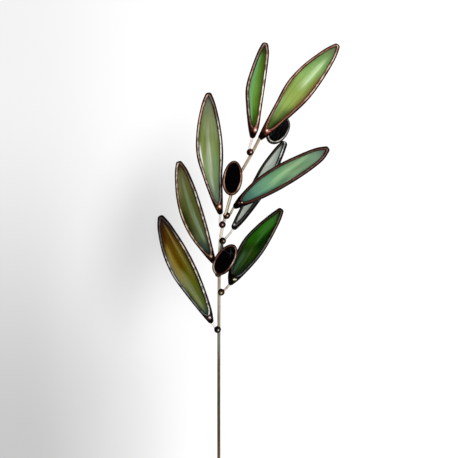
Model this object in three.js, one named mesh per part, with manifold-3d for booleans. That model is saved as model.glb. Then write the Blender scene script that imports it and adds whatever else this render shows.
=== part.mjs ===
// An olive branch made of cut glass: eight leaves and three olives, each a flat piece of
// glass in a rim of solder, on short wires soldered to a bent brass rod.
// Millimetres, +Z up. The branch lies on its back: +Y runs from the cut end of the rod to
// the tips of the leaves, and the surface that it lies on is z = 0.

import * as THREE from 'three';
import { mergeVertices } from 'three/addons/utils/BufferGeometryUtils.js';
import Module from 'manifold-3d';

const wasm = await Module();
wasm.setup();

// Clearance kept between pieces that touch on the real branch.
const gap = 0.3;

// Sheet glass and the solder rim round it. A leaf's rim is measured out and in from the edge
// line that its widths give, and an olive's rim lies inside its whole length and width.
const glassThickness = 3;
const rimHalfHeight = 2.5;
const leafRimOutside = 2;
const leafRimInside = 0.4;
const oliveRimWidth = 1.75;
const grooveReach = 1.1;       // depth of the groove that holds the glass
const grooveClearance = 0.17;  // part of the rim's width left free between glass and groove
const leafStations = 16;       // sections of the rim on each side of a leaf
const oliveStations = 11;      // the same on each side of an olive

// The solder runs together at the foot of a leaf, in a raised drop that holds the wire.
const solderedTip = 2.8;       // length of the leaf that solder covers at its tip
const footFade = 1.6;          // how fast the window opens beyond the soldered foot
const tipFade = 5;
const tipBlunt = 0.5;          // half the width of the short straight end of a leaf's tip
const dropRise = 0.8;
const dropPlace = 3.5;
const dropLength = 3.4;

// Rod, wires and the balls of solder where they meet.
const rodRadius = 1.1;
const rodSides = 8;
const rodSteps = 58;
const wireRadius = 0.8;
const wireSides = 8;
const wireSteps = 7;
const wireInDrop = 1.6;        // how deep a wire stands in the foot of its leaf
const ballRadius = 2.5;

// The rod rises from its cut end at this slope, because the leaves behind it hold it up.
const rodCutEnd = -190;
const rodEndHeight = 0.95;
const rodSlope = 0.055;
const rodHeightAt = (y) => rodEndHeight + rodSlope * (y - rodCutEnd);

// The rod seen from above, from its cut end to the foot of the leaf at its top.
const rodPlan = [
  [0, rodCutEnd], [0, -95], [0.1, 0], [0.4, 45], [0.8, 59], [2.2, 69.5], [5, 80.5],
  [8.3, 93], [12.3, 104], [17, 112.5], [23, 123],
];

// Leaves. foot and tip are the ends of the rim, in the branch's own frame. turn is the angle
// in degrees by which the right edge is lifted, looking from the foot to the tip. soldered is
// the length that the drop covers at the foot. left and right are the widths from the foot-tip
// line to the edge line, at these parts of the length.
const widthPlaces = [0.1, 0.3, 0.5, 0.7, 0.9];
const leaves = [
  {
    name: 'low_left_leaf', color: 0x7d6a35, foot: [-4.7, 4.4, 12], tip: [-41.9, 80, 2], turn: 6,
    soldered: 6.9, left: [2.2, 5.9, 8.7, 8.2, 4.3], right: [2.3, 4.5, 5.4, 4.7, 2.6],
  },
  {
    name: 'low_right_leaf', color: 0x1f5a24, foot: [7.4, 31.3, 12.4], tip: [44.5, 84.8, 7], turn: 0,
    soldered: 7.5, left: [3.9, 6.8, 8, 6.1, 2.7], right: [1.8, 3.9, 4.8, 3.9, 2.2],
  },
  {
    name: 'mid_left_leaf', color: 0x5d6a45, foot: [-3.2, 46.3, 12.8], tip: [-28.6, 118.4, 5.5], turn: 6,
    soldered: 7.2, left: [3, 7.7, 9.5, 7.9, 3.8], right: [0.7, 2.1, 3, 3.3, 2.4],
  },
  {
    name: 'back_right_leaf', color: 0x9fb0a0, foot: [9.9, 70.2, 13.8], tip: [46.9, 132.2, 6.5], turn: 20,
    soldered: 4.3, left: [0.9, 1.9, 3.4, 3.8, 2.1], right: [1.9, 3.9, 4.8, 3.9, 1.9],
  },
  {
    name: 'high_left_leaf', color: 0x86a083, foot: [1.2, 80.4, 17.6], tip: [-7.2, 165.6, 16.5], turn: 6,
    soldered: 8.1, left: [3, 7.3, 10.5, 9, 4.4], right: [0.8, 2.1, 4.3, 4.4, 2.6],
  },
  {
    name: 'front_right_leaf', color: 0x6f9c86, foot: [10.2, 85.4, 17.1], tip: [76.5, 126.6, 19.7], turn: 5,
    soldered: 7.5, left: [3.1, 6.5, 7.2, 5.9, 3.4], right: [1.7, 4, 5, 4.9, 3.5],
  },
  {
    name: 'top_left_leaf', color: 0x5c9a4c, foot: [23.3, 133.3, 19.5], tip: [32.5, 200.8, 14], turn: -10,
    soldered: 7.6, left: [2.1, 5.2, 7.3, 5.7, 2.8], right: [1.6, 1.8, 2, 2.1, 1.9],
  },
  {
    name: 'top_right_leaf', color: 0x8fb070, foot: [28.1, 132.7, 18.8], tip: [84.7, 201.4, 1.8], turn: 0,
    soldered: 9.4, left: [2.1, 5.6, 8.8, 7.9, 3.9], right: [2.2, 4.9, 6.8, 5.9, 3.3],
  },
];

// Olives. bearing is the angle in degrees of the long axis from +Y towards +X, and rise is
// the angle by which its upper end is lifted.
const oliveWidth = 13.8;
const oliveEgg = 0.07;         // how much the upper half is narrower and the lower half wider
const olives = [
  { name: 'low_olive', length: 24.4, middle: [4.5, 49.2, 19.3], bearing: 33, rise: 0 },
  { name: 'mid_olive', length: 24.4, middle: [9.7, 105.7, 21.3], bearing: 7, rise: 0 },
  { name: 'top_olive', length: 21.8, middle: [41.9, 139.6, 10.1], bearing: 38, rise: -10.5 },
];

// Balls of solder in order up the rod, as offsets from the rod's middle at that height.
const balls = [
  { name: 'joint_ball_1', along: 0, offset: [-0.9, 0, 0.3] },
  { name: 'joint_ball_2', along: 26.3, offset: [1.5, 0, 0.3] },
  { name: 'joint_ball_3', along: 39.2, offset: [-0.6, 0, -0.2] },
  { name: 'joint_ball_4', along: 62.2, offset: [1.6, 0, 0.4] },
  { name: 'joint_ball_5', along: 73.5, offset: [-0.6, 0, 0.3] },
  { name: 'joint_ball_6', along: 79.9, offset: [0.7, 0, 0.8] },
  { name: 'joint_ball_7', along: 123.4, offset: [-1.3, 0.4, 0.3] },
];

// Wires. Each runs from the foot of a leaf or olive to the rod at one ball. seat is the
// direction from the rod to the wire's end, and leave is the direction it sets off in there.
const wires = [
  { of: 'low_left_leaf', ball: 'joint_ball_1', seat: [-1, 0.2, 0], leave: [-0.6, 1, 0] },
  { of: 'low_right_leaf', ball: 'joint_ball_2', seat: [1, 0, 0], leave: [1, 0.9, 0] },
  { of: 'mid_left_leaf', ball: 'joint_ball_3', seat: [-1, 0, -0.2], leave: [-0.4, 1, 0] },
  { of: 'back_right_leaf', ball: 'joint_ball_4', seat: [1, 0, -0.4], leave: [1, 0.9, 0] },
  { of: 'high_left_leaf', ball: 'joint_ball_5', seat: [-1, 0, 0.3], leave: [-0.2, 1, 0] },
  { of: 'front_right_leaf', ball: 'joint_ball_6', seat: [1, 0, 0.1], leave: [1, 0.9, 0] },
  { of: 'top_left_leaf', ball: 'joint_ball_7', seat: [-1, 0.4, 0.2], leave: [0, 1, 0] },
  { of: 'mid_olive', ball: 'joint_ball_6', seat: [-0.2, 0, 1], leave: [0.2, 1, 0.3] },
];

const solderColor = 0x4a2f24;
const brassColor = 0xb59a6e;
const wireColor = 0xd8c6a6;
const oliveGlassColor = 0x080709;
const metal = (color) => new THREE.MeshStandardMaterial({ color, roughness: 0.3, metalness: 1 });
const glass = (color) => new THREE.MeshStandardMaterial({ color, roughness: 0.08, metalness: 0 });

// Solids

function toSolid(geometry) {
  const bare = geometry.clone();
  bare.deleteAttribute('normal');
  bare.deleteAttribute('uv');
  const merged = mergeVertices(bare);
  return new wasm.Manifold(new wasm.Mesh({
    numProp: 3,
    vertProperties: new Float32Array(merged.attributes.position.array),
    triVerts: new Uint32Array(merged.index.array),
  }));
}

function toGeometry(solid) {
  const cut = solid.getMesh();
  const geometry = new THREE.BufferGeometry();
  geometry.setAttribute('position', new THREE.BufferAttribute(cut.vertProperties, 3));
  geometry.setIndex(new THREE.BufferAttribute(cut.triVerts, 1));
  geometry.computeVertexNormals();
  return geometry;
}

// Cuts tools, given in the branch's frame, out of a geometry that is placed by matrix.
function carve(geometry, matrix, tools) {
  const toLocal = matrix.clone().invert();
  let solid = toSolid(geometry);
  for (const tool of tools) {
    solid = solid.subtract(toSolid(tool.clone().applyMatrix4(toLocal)));
  }
  return toGeometry(solid);
}

function placedMesh(name, geometry, matrix, material) {
  const mesh = new THREE.Mesh(geometry, material);
  mesh.name = name;
  matrix.decompose(mesh.position, mesh.quaternion, mesh.scale);
  return mesh;
}

// Tubes

function roundSection(radius, sides) {
  const points = [];
  for (let i = 0; i < sides; i += 1) {
    const angle = (2 * Math.PI * (i + 0.5)) / sides;
    points.push(new THREE.Vector2(radius * Math.cos(angle), radius * Math.sin(angle)));
  }
  return new THREE.Shape(points);
}

function tube(path, radius, sides, steps) {
  return new THREE.ExtrudeGeometry(roundSection(radius, sides), { extrudePath: path, steps });
}

// Outlines of one side, from the foot to the tip, as points with x outwards and y along

function samplePolyline(points, count) {
  const lengths = [0];
  for (let i = 1; i < points.length; i += 1) {
    lengths.push(lengths[i - 1] + points[i].distanceTo(points[i - 1]));
  }
  const total = lengths[lengths.length - 1];
  const samples = [];
  for (let j = 0; j <= count; j += 1) {
    const target = total * 0.5 * (1 - Math.cos((Math.PI * j) / count));
    let i = 1;
    while (i < points.length - 1 && lengths[i] < target) {
      i += 1;
    }
    const part = (target - lengths[i - 1]) / (lengths[i] - lengths[i - 1]);
    samples.push(points[i - 1].clone().lerp(points[i], THREE.MathUtils.clamp(part, 0, 1)));
  }
  return samples;
}

function widthAt(points, y) {
  let i = 1;
  while (i < points.length - 1 && points[i].y < y) {
    i += 1;
  }
  const part = (y - points[i - 1].y) / (points[i].y - points[i - 1].y);
  return THREE.MathUtils.lerp(points[i - 1].x, points[i].x, part);
}

// The outside of the rim: the edge line moved out, with a round cap at each end, to the middle.
function outsideOf(edgeCurve, reach) {
  const edgeSteps = 60;
  const capSteps = 8;
  const points = [];
  const normals = [];
  for (let i = 0; i <= edgeSteps; i += 1) {
    const tangent = edgeCurve.getTangent(i / edgeSteps);
    normals.push(new THREE.Vector2(tangent.y, -tangent.x));
  }
  const capPoint = (centre, angle) => new THREE.Vector2(
    centre.x + reach * Math.cos(angle),
    centre.y + reach * Math.sin(angle),
  );
  const footAngle = normals[0].angle() - 2 * Math.PI * (normals[0].y < 0);
  const tipAngle = normals[edgeSteps].angle();
  for (let i = 0; i < capSteps; i += 1) {
    const angle = THREE.MathUtils.lerp(-Math.PI / 2, footAngle, i / capSteps);
    points.push(capPoint(edgeCurve.getPoint(0), angle));
  }
  for (let i = 0; i <= edgeSteps; i += 1) {
    points.push(edgeCurve.getPoint(i / edgeSteps).addScaledVector(normals[i], reach));
  }
  for (let i = 1; i <= capSteps; i += 1) {
    const angle = THREE.MathUtils.lerp(tipAngle, Math.PI / 2, i / capSteps);
    points.push(capPoint(edgeCurve.getPoint(1), angle));
  }
  points.push(new THREE.Vector2(0, points[points.length - 1].y));
  return points;
}

// Rim and glass

// Joins the right side and the mirrored left side to one closed loop.
function closedLoop(right, left) {
  const loop = right.map((point) => point.clone());
  for (let i = left.length - 2; i > 0; i -= 1) {
    loop.push(new THREE.Vector2(-left[i].x, left[i].y));
  }
  return loop;
}

// A bead of solder between an inside and an outside loop, with a groove for the glass.
function rimGeometry(inside, outside, crestAt) {
  const lip = glassThickness / 2 + gap;
  const positions = [];
  outside.forEach((outer, i) => {
    const crest = crestAt(outer);
    const groove = grooveReach / inside[i].distanceTo(outer);
    const section = [
      [0, lip], [0.33, crest], [0.78, 0.8 * crest], [1, 0], [0.78, -0.8 * crest], [0.33, -crest],
      [0, -lip], [groove, -lip], [groove, lip],
    ];
    for (const [across, height] of section) {
      const point = inside[i].clone().lerp(outer, across);
      positions.push(point.x, point.y, height);
    }
  });
  const sectionSize = positions.length / 3 / outside.length;
  const indices = [];
  for (let i = 0; i < outside.length; i += 1) {
    const next = (i + 1) % outside.length;
    for (let k = 0; k < sectionSize; k += 1) {
      const above = (k + 1) % sectionSize;
      const a = i * sectionSize + k;
      const b = next * sectionSize + k;
      const c = next * sectionSize + above;
      const d = i * sectionSize + above;
      indices.push(a, d, b, b, d, c);
    }
  }
  const geometry = new THREE.BufferGeometry();
  geometry.setAttribute('position', new THREE.Float32BufferAttribute(positions, 3));
  geometry.setIndex(indices);
  return geometry;
}

// The glass stands in the groove, clear of its bottom.
function paneGeometry(inside, outside) {
  const outline = inside.map((inner, i) => {
    const groove = grooveReach / inner.distanceTo(outside[i]);
    return inner.clone().lerp(outside[i], groove - grooveClearance);
  });
  const sheet = { depth: glassThickness, bevelEnabled: false };
  const pane = new THREE.ExtrudeGeometry(new THREE.Shape(outline), sheet);
  return pane.translate(0, 0, -glassThickness / 2);
}

// Leaves

function leafEdge(widths, length) {
  const low = leafRimOutside;
  const high = length - leafRimOutside;
  const points = [new THREE.Vector2(0, low)];
  widths.forEach((width, i) => {
    points.push(new THREE.Vector2(width, THREE.MathUtils.lerp(low, high, widthPlaces[i])));
  });
  points.push(new THREE.Vector2(tipBlunt, high));
  return new THREE.SplineCurve(points);
}

// The inside of a leaf's rim ends in a point at each end, which lies midway between its sides.
function leafWindow(edgePoints, otherEdgePoints, soldered, length) {
  const windowSteps = 120;
  const low = soldered;
  const high = length - solderedTip;
  const middleAt = (y) => (widthAt(edgePoints, y) - widthAt(otherEdgePoints, y)) / 2;
  const footInset = widthAt(edgePoints, low) - leafRimInside - middleAt(low);
  const tipInset = widthAt(edgePoints, high) - leafRimInside - middleAt(high);
  const points = [];
  for (let i = 0; i <= windowSteps; i += 1) {
    const y = THREE.MathUtils.lerp(low, high, i / windowSteps);
    const inset = footInset * Math.exp((low - y) / footFade) + tipInset * Math.exp((y - high) / tipFade);
    points.push(new THREE.Vector2(widthAt(edgePoints, y) - leafRimInside - inset, y));
  }
  points[0].x = middleAt(low);
  points[windowSteps].x = middleAt(high);
  return points;
}

function leafLoops(leaf, length) {
  const edges = [leafEdge(leaf.right, length), leafEdge(leaf.left, length)];
  const edgePoints = edges.map((edge) => edge.getPoints(60));
  const outsides = edges.map((edge) => samplePolyline(outsideOf(edge, leafRimOutside), leafStations));
  const insides = [
    samplePolyline(leafWindow(edgePoints[0], edgePoints[1], leaf.soldered, length), leafStations),
    samplePolyline(leafWindow(edgePoints[1], edgePoints[0], leaf.soldered, length), leafStations),
  ];
  return { inside: closedLoop(...insides), outside: closedLoop(...outsides) };
}

// Half the height of the bead, which is greatest in the drop at the foot.
function leafCrest(point) {
  return rimHalfHeight + dropRise * Math.exp(-(((point.y - dropPlace) / dropLength) ** 2));
}

function matrixAlong(from, to, turn) {
  const along = to.clone().sub(from).normalize();
  const across = along.clone().cross(new THREE.Vector3(0, 0, 1)).normalize();
  across.applyAxisAngle(along, -THREE.MathUtils.degToRad(turn));
  const matrix = new THREE.Matrix4().makeBasis(across, along, across.clone().cross(along));
  return matrix.setPosition(from);
}

function leafMatrix(leaf) {
  return matrixAlong(new THREE.Vector3(...leaf.foot), new THREE.Vector3(...leaf.tip), leaf.turn);
}

// Olives, with the lower end at the origin of their own frame and the tip along y

function oliveLoop(length, inset) {
  const halfLength = length / 2;
  const points = [];
  for (let i = 0; i < 2 * oliveStations; i += 1) {
    const angle = (Math.PI * i) / oliveStations;
    const y = -Math.cos(angle);
    const width = (oliveWidth / 2 - inset) * (1 - oliveEgg * y);
    points.push(new THREE.Vector2(width * Math.sin(angle), halfLength + (halfLength - inset) * y));
  }
  return points;
}

function oliveMatrix(olive) {
  const bearing = THREE.MathUtils.degToRad(olive.bearing);
  const rise = THREE.MathUtils.degToRad(olive.rise);
  const along = new THREE.Vector3(
    Math.sin(bearing) * Math.cos(rise),
    Math.cos(bearing) * Math.cos(rise),
    Math.sin(rise),
  );
  const middle = new THREE.Vector3(...olive.middle);
  const foot = middle.clone().addScaledVector(along, -olive.length / 2);
  return matrixAlong(foot, middle, 0);
}

// Rod

const leafMatrices = new Map(leaves.map((leaf) => [leaf.name, leafMatrix(leaf)]));
const oliveMatrices = new Map(olives.map((olive) => [olive.name, oliveMatrix(olive)]));
const pointIn = (matrix, y) => new THREE.Vector3(0, y, 0).applyMatrix4(matrix);

const topLeaf = leafMatrices.get('top_right_leaf');
const rodPoints = rodPlan.map(([x, y]) => new THREE.Vector3(x, y, rodHeightAt(y)));
rodPoints.push(pointIn(topLeaf, 0), pointIn(topLeaf, wireInDrop));
const rodPath = new THREE.CatmullRomCurve3(rodPoints, false, 'centripetal');
const rodHolePoints = [...rodPoints.slice(0, -1), pointIn(topLeaf, wireInDrop + gap)];
const rodHolePath = new THREE.CatmullRomCurve3(rodHolePoints, false, 'centripetal');
const rodHole = tube(rodHolePath, rodRadius + gap, rodSides, rodSteps);

// The rod's middle and direction where it passes the given place along the branch.
function rodAt(y) {
  let low = 0;
  let high = 1;
  for (let i = 0; i < 40; i += 1) {
    const middle = (low + high) / 2;
    if (rodPath.getPointAt(middle).y < y) {
      low = middle;
    } else {
      high = middle;
    }
  }
  return { point: rodPath.getPointAt(low), direction: rodPath.getTangentAt(low) };
}

const ballPlaces = new Map(balls.map((ball) => {
  const place = rodAt(ball.along);
  place.middle = place.point.clone().add(new THREE.Vector3(...ball.offset));
  return [ball.name, place];
}));

// Wires

// A wire's end lies beside the rod, clear of it, inside the ball.
function seatOnRod(wire) {
  const place = ballPlaces.get(wire.ball);
  const seat = new THREE.Vector3(...wire.seat);
  seat.addScaledVector(place.direction, -seat.dot(place.direction)).normalize();
  return place.point.clone().addScaledVector(seat, rodRadius + gap + wireRadius);
}

function wireTube(start, startAway, end, endAway, radius, past) {
  const reach = start.distanceTo(end) / 3;
  const away = startAway.clone().normalize();
  const arrive = endAway.clone().normalize();
  const path = new THREE.CubicBezierCurve3(
    start.clone().addScaledVector(away, -past),
    start.clone().addScaledVector(away, reach),
    end.clone().addScaledVector(arrive, reach),
    end.clone().addScaledVector(arrive, -past),
  );
  return tube(path, radius, wireSides, wireSteps);
}

const wirePaths = wires.map((wire) => {
  const matrix = leafMatrices.get(wire.of) ?? oliveMatrices.get(wire.of);
  const depth = leafMatrices.has(wire.of) ? wireInDrop : -gap;
  const start = pointIn(matrix, depth);
  const away = pointIn(matrix, 0).sub(pointIn(matrix, 1));
  return { ...wire, start, away, end: seatOnRod(wire), arrive: new THREE.Vector3(...wire.leave) };
});

// The wire of the low olive lies beside the rod, from under the olive's rim up to its ball.
const lowOliveSide = new THREE.Vector3(0.8, 0, 0.6).multiplyScalar(rodRadius + gap + wireRadius);
const lowOliveWireAlong = [54.5, 61.6];
wirePaths.push({
  of: 'low_olive',
  ball: 'joint_ball_4',
  start: rodAt(lowOliveWireAlong[0]).point.add(lowOliveSide),
  away: new THREE.Vector3(0, 1, 0),
  end: rodAt(lowOliveWireAlong[1]).point.add(lowOliveSide),
  arrive: new THREE.Vector3(0, -1, 0),
});

function wireSolid(wire) {
  return wireTube(wire.start, wire.away, wire.end, wire.arrive, wireRadius, 0);
}

function wireHole(wire) {
  return wireTube(wire.start, wire.away, wire.end, wire.arrive, wireRadius + gap, gap);
}

// The branch

const branch = new THREE.Group();
const surface = new THREE.BoxGeometry(400, 600, 20).translate(0, 0, -10);
const still = new THREE.Matrix4();

const rod = carve(tube(rodPath, rodRadius, rodSides, rodSteps), still, [surface]);
branch.add(placedMesh('stem_rod', rod, still, metal(brassColor)));

for (const leaf of leaves) {
  const matrix = leafMatrices.get(leaf.name);
  const length = new THREE.Vector3(...leaf.foot).distanceTo(new THREE.Vector3(...leaf.tip));
  const { inside, outside } = leafLoops(leaf, length);
  const wire = wirePaths.find((one) => one.of === leaf.name);
  const socket = wire ? wireHole(wire) : rodHole;
  const rim = carve(rimGeometry(inside, outside, leafCrest), matrix, [socket, surface]);
  branch.add(placedMesh(`${leaf.name}_rim`, rim, matrix, metal(solderColor)));
  branch.add(placedMesh(`${leaf.name}_glass`, paneGeometry(inside, outside), matrix, glass(leaf.color)));
}

for (const olive of olives) {
  const matrix = oliveMatrices.get(olive.name);
  const inside = oliveLoop(olive.length, oliveRimWidth);
  const outside = oliveLoop(olive.length, 0);
  const rim = rimGeometry(inside, outside, () => rimHalfHeight);
  const pane = paneGeometry(inside, outside);
  branch.add(placedMesh(`${olive.name}_rim`, rim, matrix, metal(solderColor)));
  branch.add(placedMesh(`${olive.name}_glass`, pane, matrix, glass(oliveGlassColor)));
}

for (const wire of wirePaths) {
  branch.add(placedMesh(`${wire.of}_wire`, wireSolid(wire), still, metal(wireColor)));
}

for (const ball of balls) {
  const matrix = new THREE.Matrix4().setPosition(ballPlaces.get(ball.name).middle);
  const holes = wirePaths.filter((wire) => wire.ball === ball.name).map(wireHole);
  const round = new THREE.IcosahedronGeometry(ballRadius, 2);
  const cut = carve(round, matrix, [rodHole, ...holes]);
  branch.add(placedMesh(ball.name, cut, matrix, metal(solderColor)));
}

// The origin is the middle of the branch's own box, on the surface.
const bounds = new THREE.Box3().setFromObject(branch, true);
const centre = bounds.getCenter(new THREE.Vector3());
branch.position.set(-centre.x, -centre.y, -bounds.min.z);

const oliveBranch = new THREE.Group();
oliveBranch.add(branch);

export default oliveBranch;
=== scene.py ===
import math

import bpy
from mathutils import Matrix, Vector
from mathutils.kdtree import KDTree


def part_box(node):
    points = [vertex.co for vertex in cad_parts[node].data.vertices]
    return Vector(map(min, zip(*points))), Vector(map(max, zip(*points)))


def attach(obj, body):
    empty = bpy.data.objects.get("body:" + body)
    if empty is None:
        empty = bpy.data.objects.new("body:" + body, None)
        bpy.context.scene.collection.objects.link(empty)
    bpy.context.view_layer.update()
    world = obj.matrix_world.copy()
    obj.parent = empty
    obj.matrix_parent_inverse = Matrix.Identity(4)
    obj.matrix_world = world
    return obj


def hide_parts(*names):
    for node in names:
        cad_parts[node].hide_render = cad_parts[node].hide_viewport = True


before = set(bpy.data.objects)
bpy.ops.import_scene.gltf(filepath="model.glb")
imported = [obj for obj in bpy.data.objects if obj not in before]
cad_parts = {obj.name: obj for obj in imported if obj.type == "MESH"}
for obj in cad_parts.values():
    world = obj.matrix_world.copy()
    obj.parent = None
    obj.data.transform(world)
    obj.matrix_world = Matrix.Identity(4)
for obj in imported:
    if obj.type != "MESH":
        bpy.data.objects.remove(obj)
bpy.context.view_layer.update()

# The rod
# A brass rod, bent by hand near its top, that carries the whole branch. Its lower end is cut
# square. The bright drawn surface has gone dull, and browner towards the cut end.

# Places are written in millimetres from the rod's middle beside its lowest ball of solder.
branch_start = Vector((-20.953, -5.944, 0))
rod_radius = 1.1
rod_ends_at = -190
rod_end_height = 0.95      # of its middle at the cut end, where its underside is worn flat
rod_slope = 0.055
rod_step = 1.2             # from ring to ring of its mesh
rod_waver = 0.12           # how far it strays to the sides by hand bending
rod_plan = [
    (0, rod_ends_at), (0, -142), (0, -95), (0, -47), (0.1, 0), (0.25, 24), (0.4, 45), (0.8, 59),
    (2.2, 69.5), (5, 80.5), (8.3, 93), (12.3, 104), (17, 112.5), (23, 123),
]


def in_frame(point):
    """A place on the branch in millimetres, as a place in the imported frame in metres."""
    return (Vector(point) + branch_start) / 1000


def rod_height(y):
    return rod_end_height + rod_slope * (y - rod_ends_at)


class Socket:
    """An output of a node. Python's operators on it add Math nodes."""

    def __init__(self, graph, output):
        self.graph = graph
        self.output = output

    def maths(self, operation, *values):
        return self.graph.node("ShaderNodeMath", {"operation": operation}, dict(enumerate(values)))

    def __add__(self, other):
        return self.maths("ADD", self, other)

    def __sub__(self, other):
        return self.maths("SUBTRACT", self, other)

    def __rsub__(self, other):
        return self.maths("SUBTRACT", other, self)

    def __mul__(self, other):
        return self.maths("MULTIPLY", self, other)

    def __abs__(self):
        return self.maths("ABSOLUTE", self)

    __radd__ = __add__
    __rmul__ = __mul__


class Graph:
    """The nodes of one material or one geometry tree."""

    def __init__(self, tree):
        self.tree = tree

    def node(self, kind, settings=None, inputs=None, output=0):
        made = self.tree.nodes.new(kind)
        for name, value in (settings or {}).items():
            if name == "stops":
                self.set_stops(made.color_ramp, value)
            else:
                setattr(made, name, value)
        for name, value in (inputs or {}).items():
            self.feed(made.inputs[name], value)
        return Socket(self, made.outputs[output])

    def feed(self, socket, value):
        if isinstance(value, Socket):
            self.tree.links.new(value.output, socket)
        else:
            socket.default_value = value

    def set_stops(self, ramp, stops):
        ramp.interpolation = "EASE"
        while len(ramp.elements) < len(stops):
            ramp.elements.new(0.5)
        for element, (place, color) in zip(ramp.elements, stops):
            element.position = place
            element.color = paint(color)

    def ramp(self, value, stops):
        return self.node("ShaderNodeValToRGB", {"stops": stops}, {"Fac": value})

    def blend(self, factor, first, second):
        sides = [paint(side) if isinstance(side, str) else side for side in (first, second)]
        inputs = {0: factor, 6: sides[0], 7: sides[1]}
        return self.node("ShaderNodeMix", {"data_type": "RGBA"}, inputs, output=2)

    def step(self, value, low, high):
        """0 before low and 1 after high, with a soft passage between them."""
        inputs = {"Value": value, "From Min": low, "From Max": high}
        return self.node("ShaderNodeMapRange", {"interpolation_type": "SMOOTHSTEP"}, inputs)

    def noise(self, place, scale, detail=2.0, stretch=(1, 1, 1)):
        """Noise from 0 to 1 about 0.5, drawn out along the axes where stretch is small."""
        scaled = self.vectors("MULTIPLY", {0: place, 1: stretch})
        inputs = {"Vector": scaled, "Scale": scale, "Detail": detail}
        return self.node("ShaderNodeTexNoise", {}, inputs)

    def attribute(self, name):
        return self.node("ShaderNodeAttribute", {"attribute_name": name}, output="Fac")

    def place(self):
        return self.node("ShaderNodeTexCoord", {}, output="Object")

    def vectors(self, operation, inputs, output="Vector"):
        return self.node("ShaderNodeVectorMath", {"operation": operation}, inputs, output)

    def part(self, vector, axis):
        return self.node("ShaderNodeSeparateXYZ", {}, {0: vector}, output=axis)

    def emboss(self, shader, height, strength, distance):
        """Fine relief, too small to be in the mesh."""
        inputs = {"Strength": strength, "Distance": distance, "Height": height}
        self.feed(shader.inputs["Normal"], self.node("ShaderNodeBump", {}, inputs))


def paint(code):
    """A colour written as #rrggbb, for a node's socket."""
    parts = [int(code[i:i + 2], 16) / 255 for i in (1, 3, 5)]
    linear = [part / 12.92 if part < 0.04045 else ((part + 0.055) / 1.055) ** 2.4 for part in parts]
    return (*linear, 1)


def finish(name, **constants):
    """A material with its constant values set, its nodes and its shader."""
    material = bpy.data.materials.new(name)
    material.use_nodes = True
    graph = Graph(material.node_tree)
    shader = material.node_tree.nodes["Principled BSDF"]
    for socket, value in constants.items():
        shader.inputs[socket.replace("_", " ")].default_value = value
    return material, graph, shader


brass, graph, shader = finish("dull_brass", Metallic=0.35, Specular_IOR_Level=0.25)
place = graph.place()
drawn = graph.noise(place, 1500, 3, stretch=(1, 0.04, 1))
stain = graph.noise(place, 160, 4)
# The ramp's 0 and 1 lie at these metres along the frame's Y axis.
tones_from, tones_to = -0.1, 0.15
up_the_rod = (graph.part(place, "Y") - tones_from) * (1 / (tones_to - tones_from))
# The darker tone at 0.75, beside the middle olive's foot, is a painted shadow.
metal = graph.ramp(up_the_rod + 0.03 * (stain - 0.5), [
    (0.02, "#604a34"), (0.09, "#503f27"), (0.16, "#4b4633"), (0.26, "#58513f"), (0.36, "#7a7668"),
    (0.4, "#958b75"), (0.45, "#a59882"), (0.53, "#ac9b86"), (0.64, "#e2d6c2"), (0.71, "#c2b499"),
    (0.75, "#a8977c"), (0.82, "#bea895"), (0.9, "#ae9a7e"),
])
# The rod's sides are painted darker as shade, where they face away from the light.
edge = graph.step(graph.attribute("upper") + 0.5 * (stain - 0.5), 0.78, 0.4)
value = (1.02 + 0.5 * (drawn - 0.5) + 0.7 * (stain - 0.5)) * (1 - 0.42 * edge)
metal = graph.node("ShaderNodeHueSaturation", {}, {"Value": value, "Color": metal})
graph.feed(shader.inputs["Base Color"], metal)
graph.feed(shader.inputs["Roughness"], 0.32 + 0.2 * stain)
graph.emboss(shader, drawn + stain, 0.25, 0.00008)


def above_table(graph, mesh):
    """Flattens what would go below the table."""
    place = graph.node("GeometryNodeInputPosition")
    above = graph.vectors("MAXIMUM", {0: place, 1: (-10, -10, 0)})
    return graph.node("GeometryNodeSetPosition", {}, {"Geometry": mesh, "Position": above})


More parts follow.
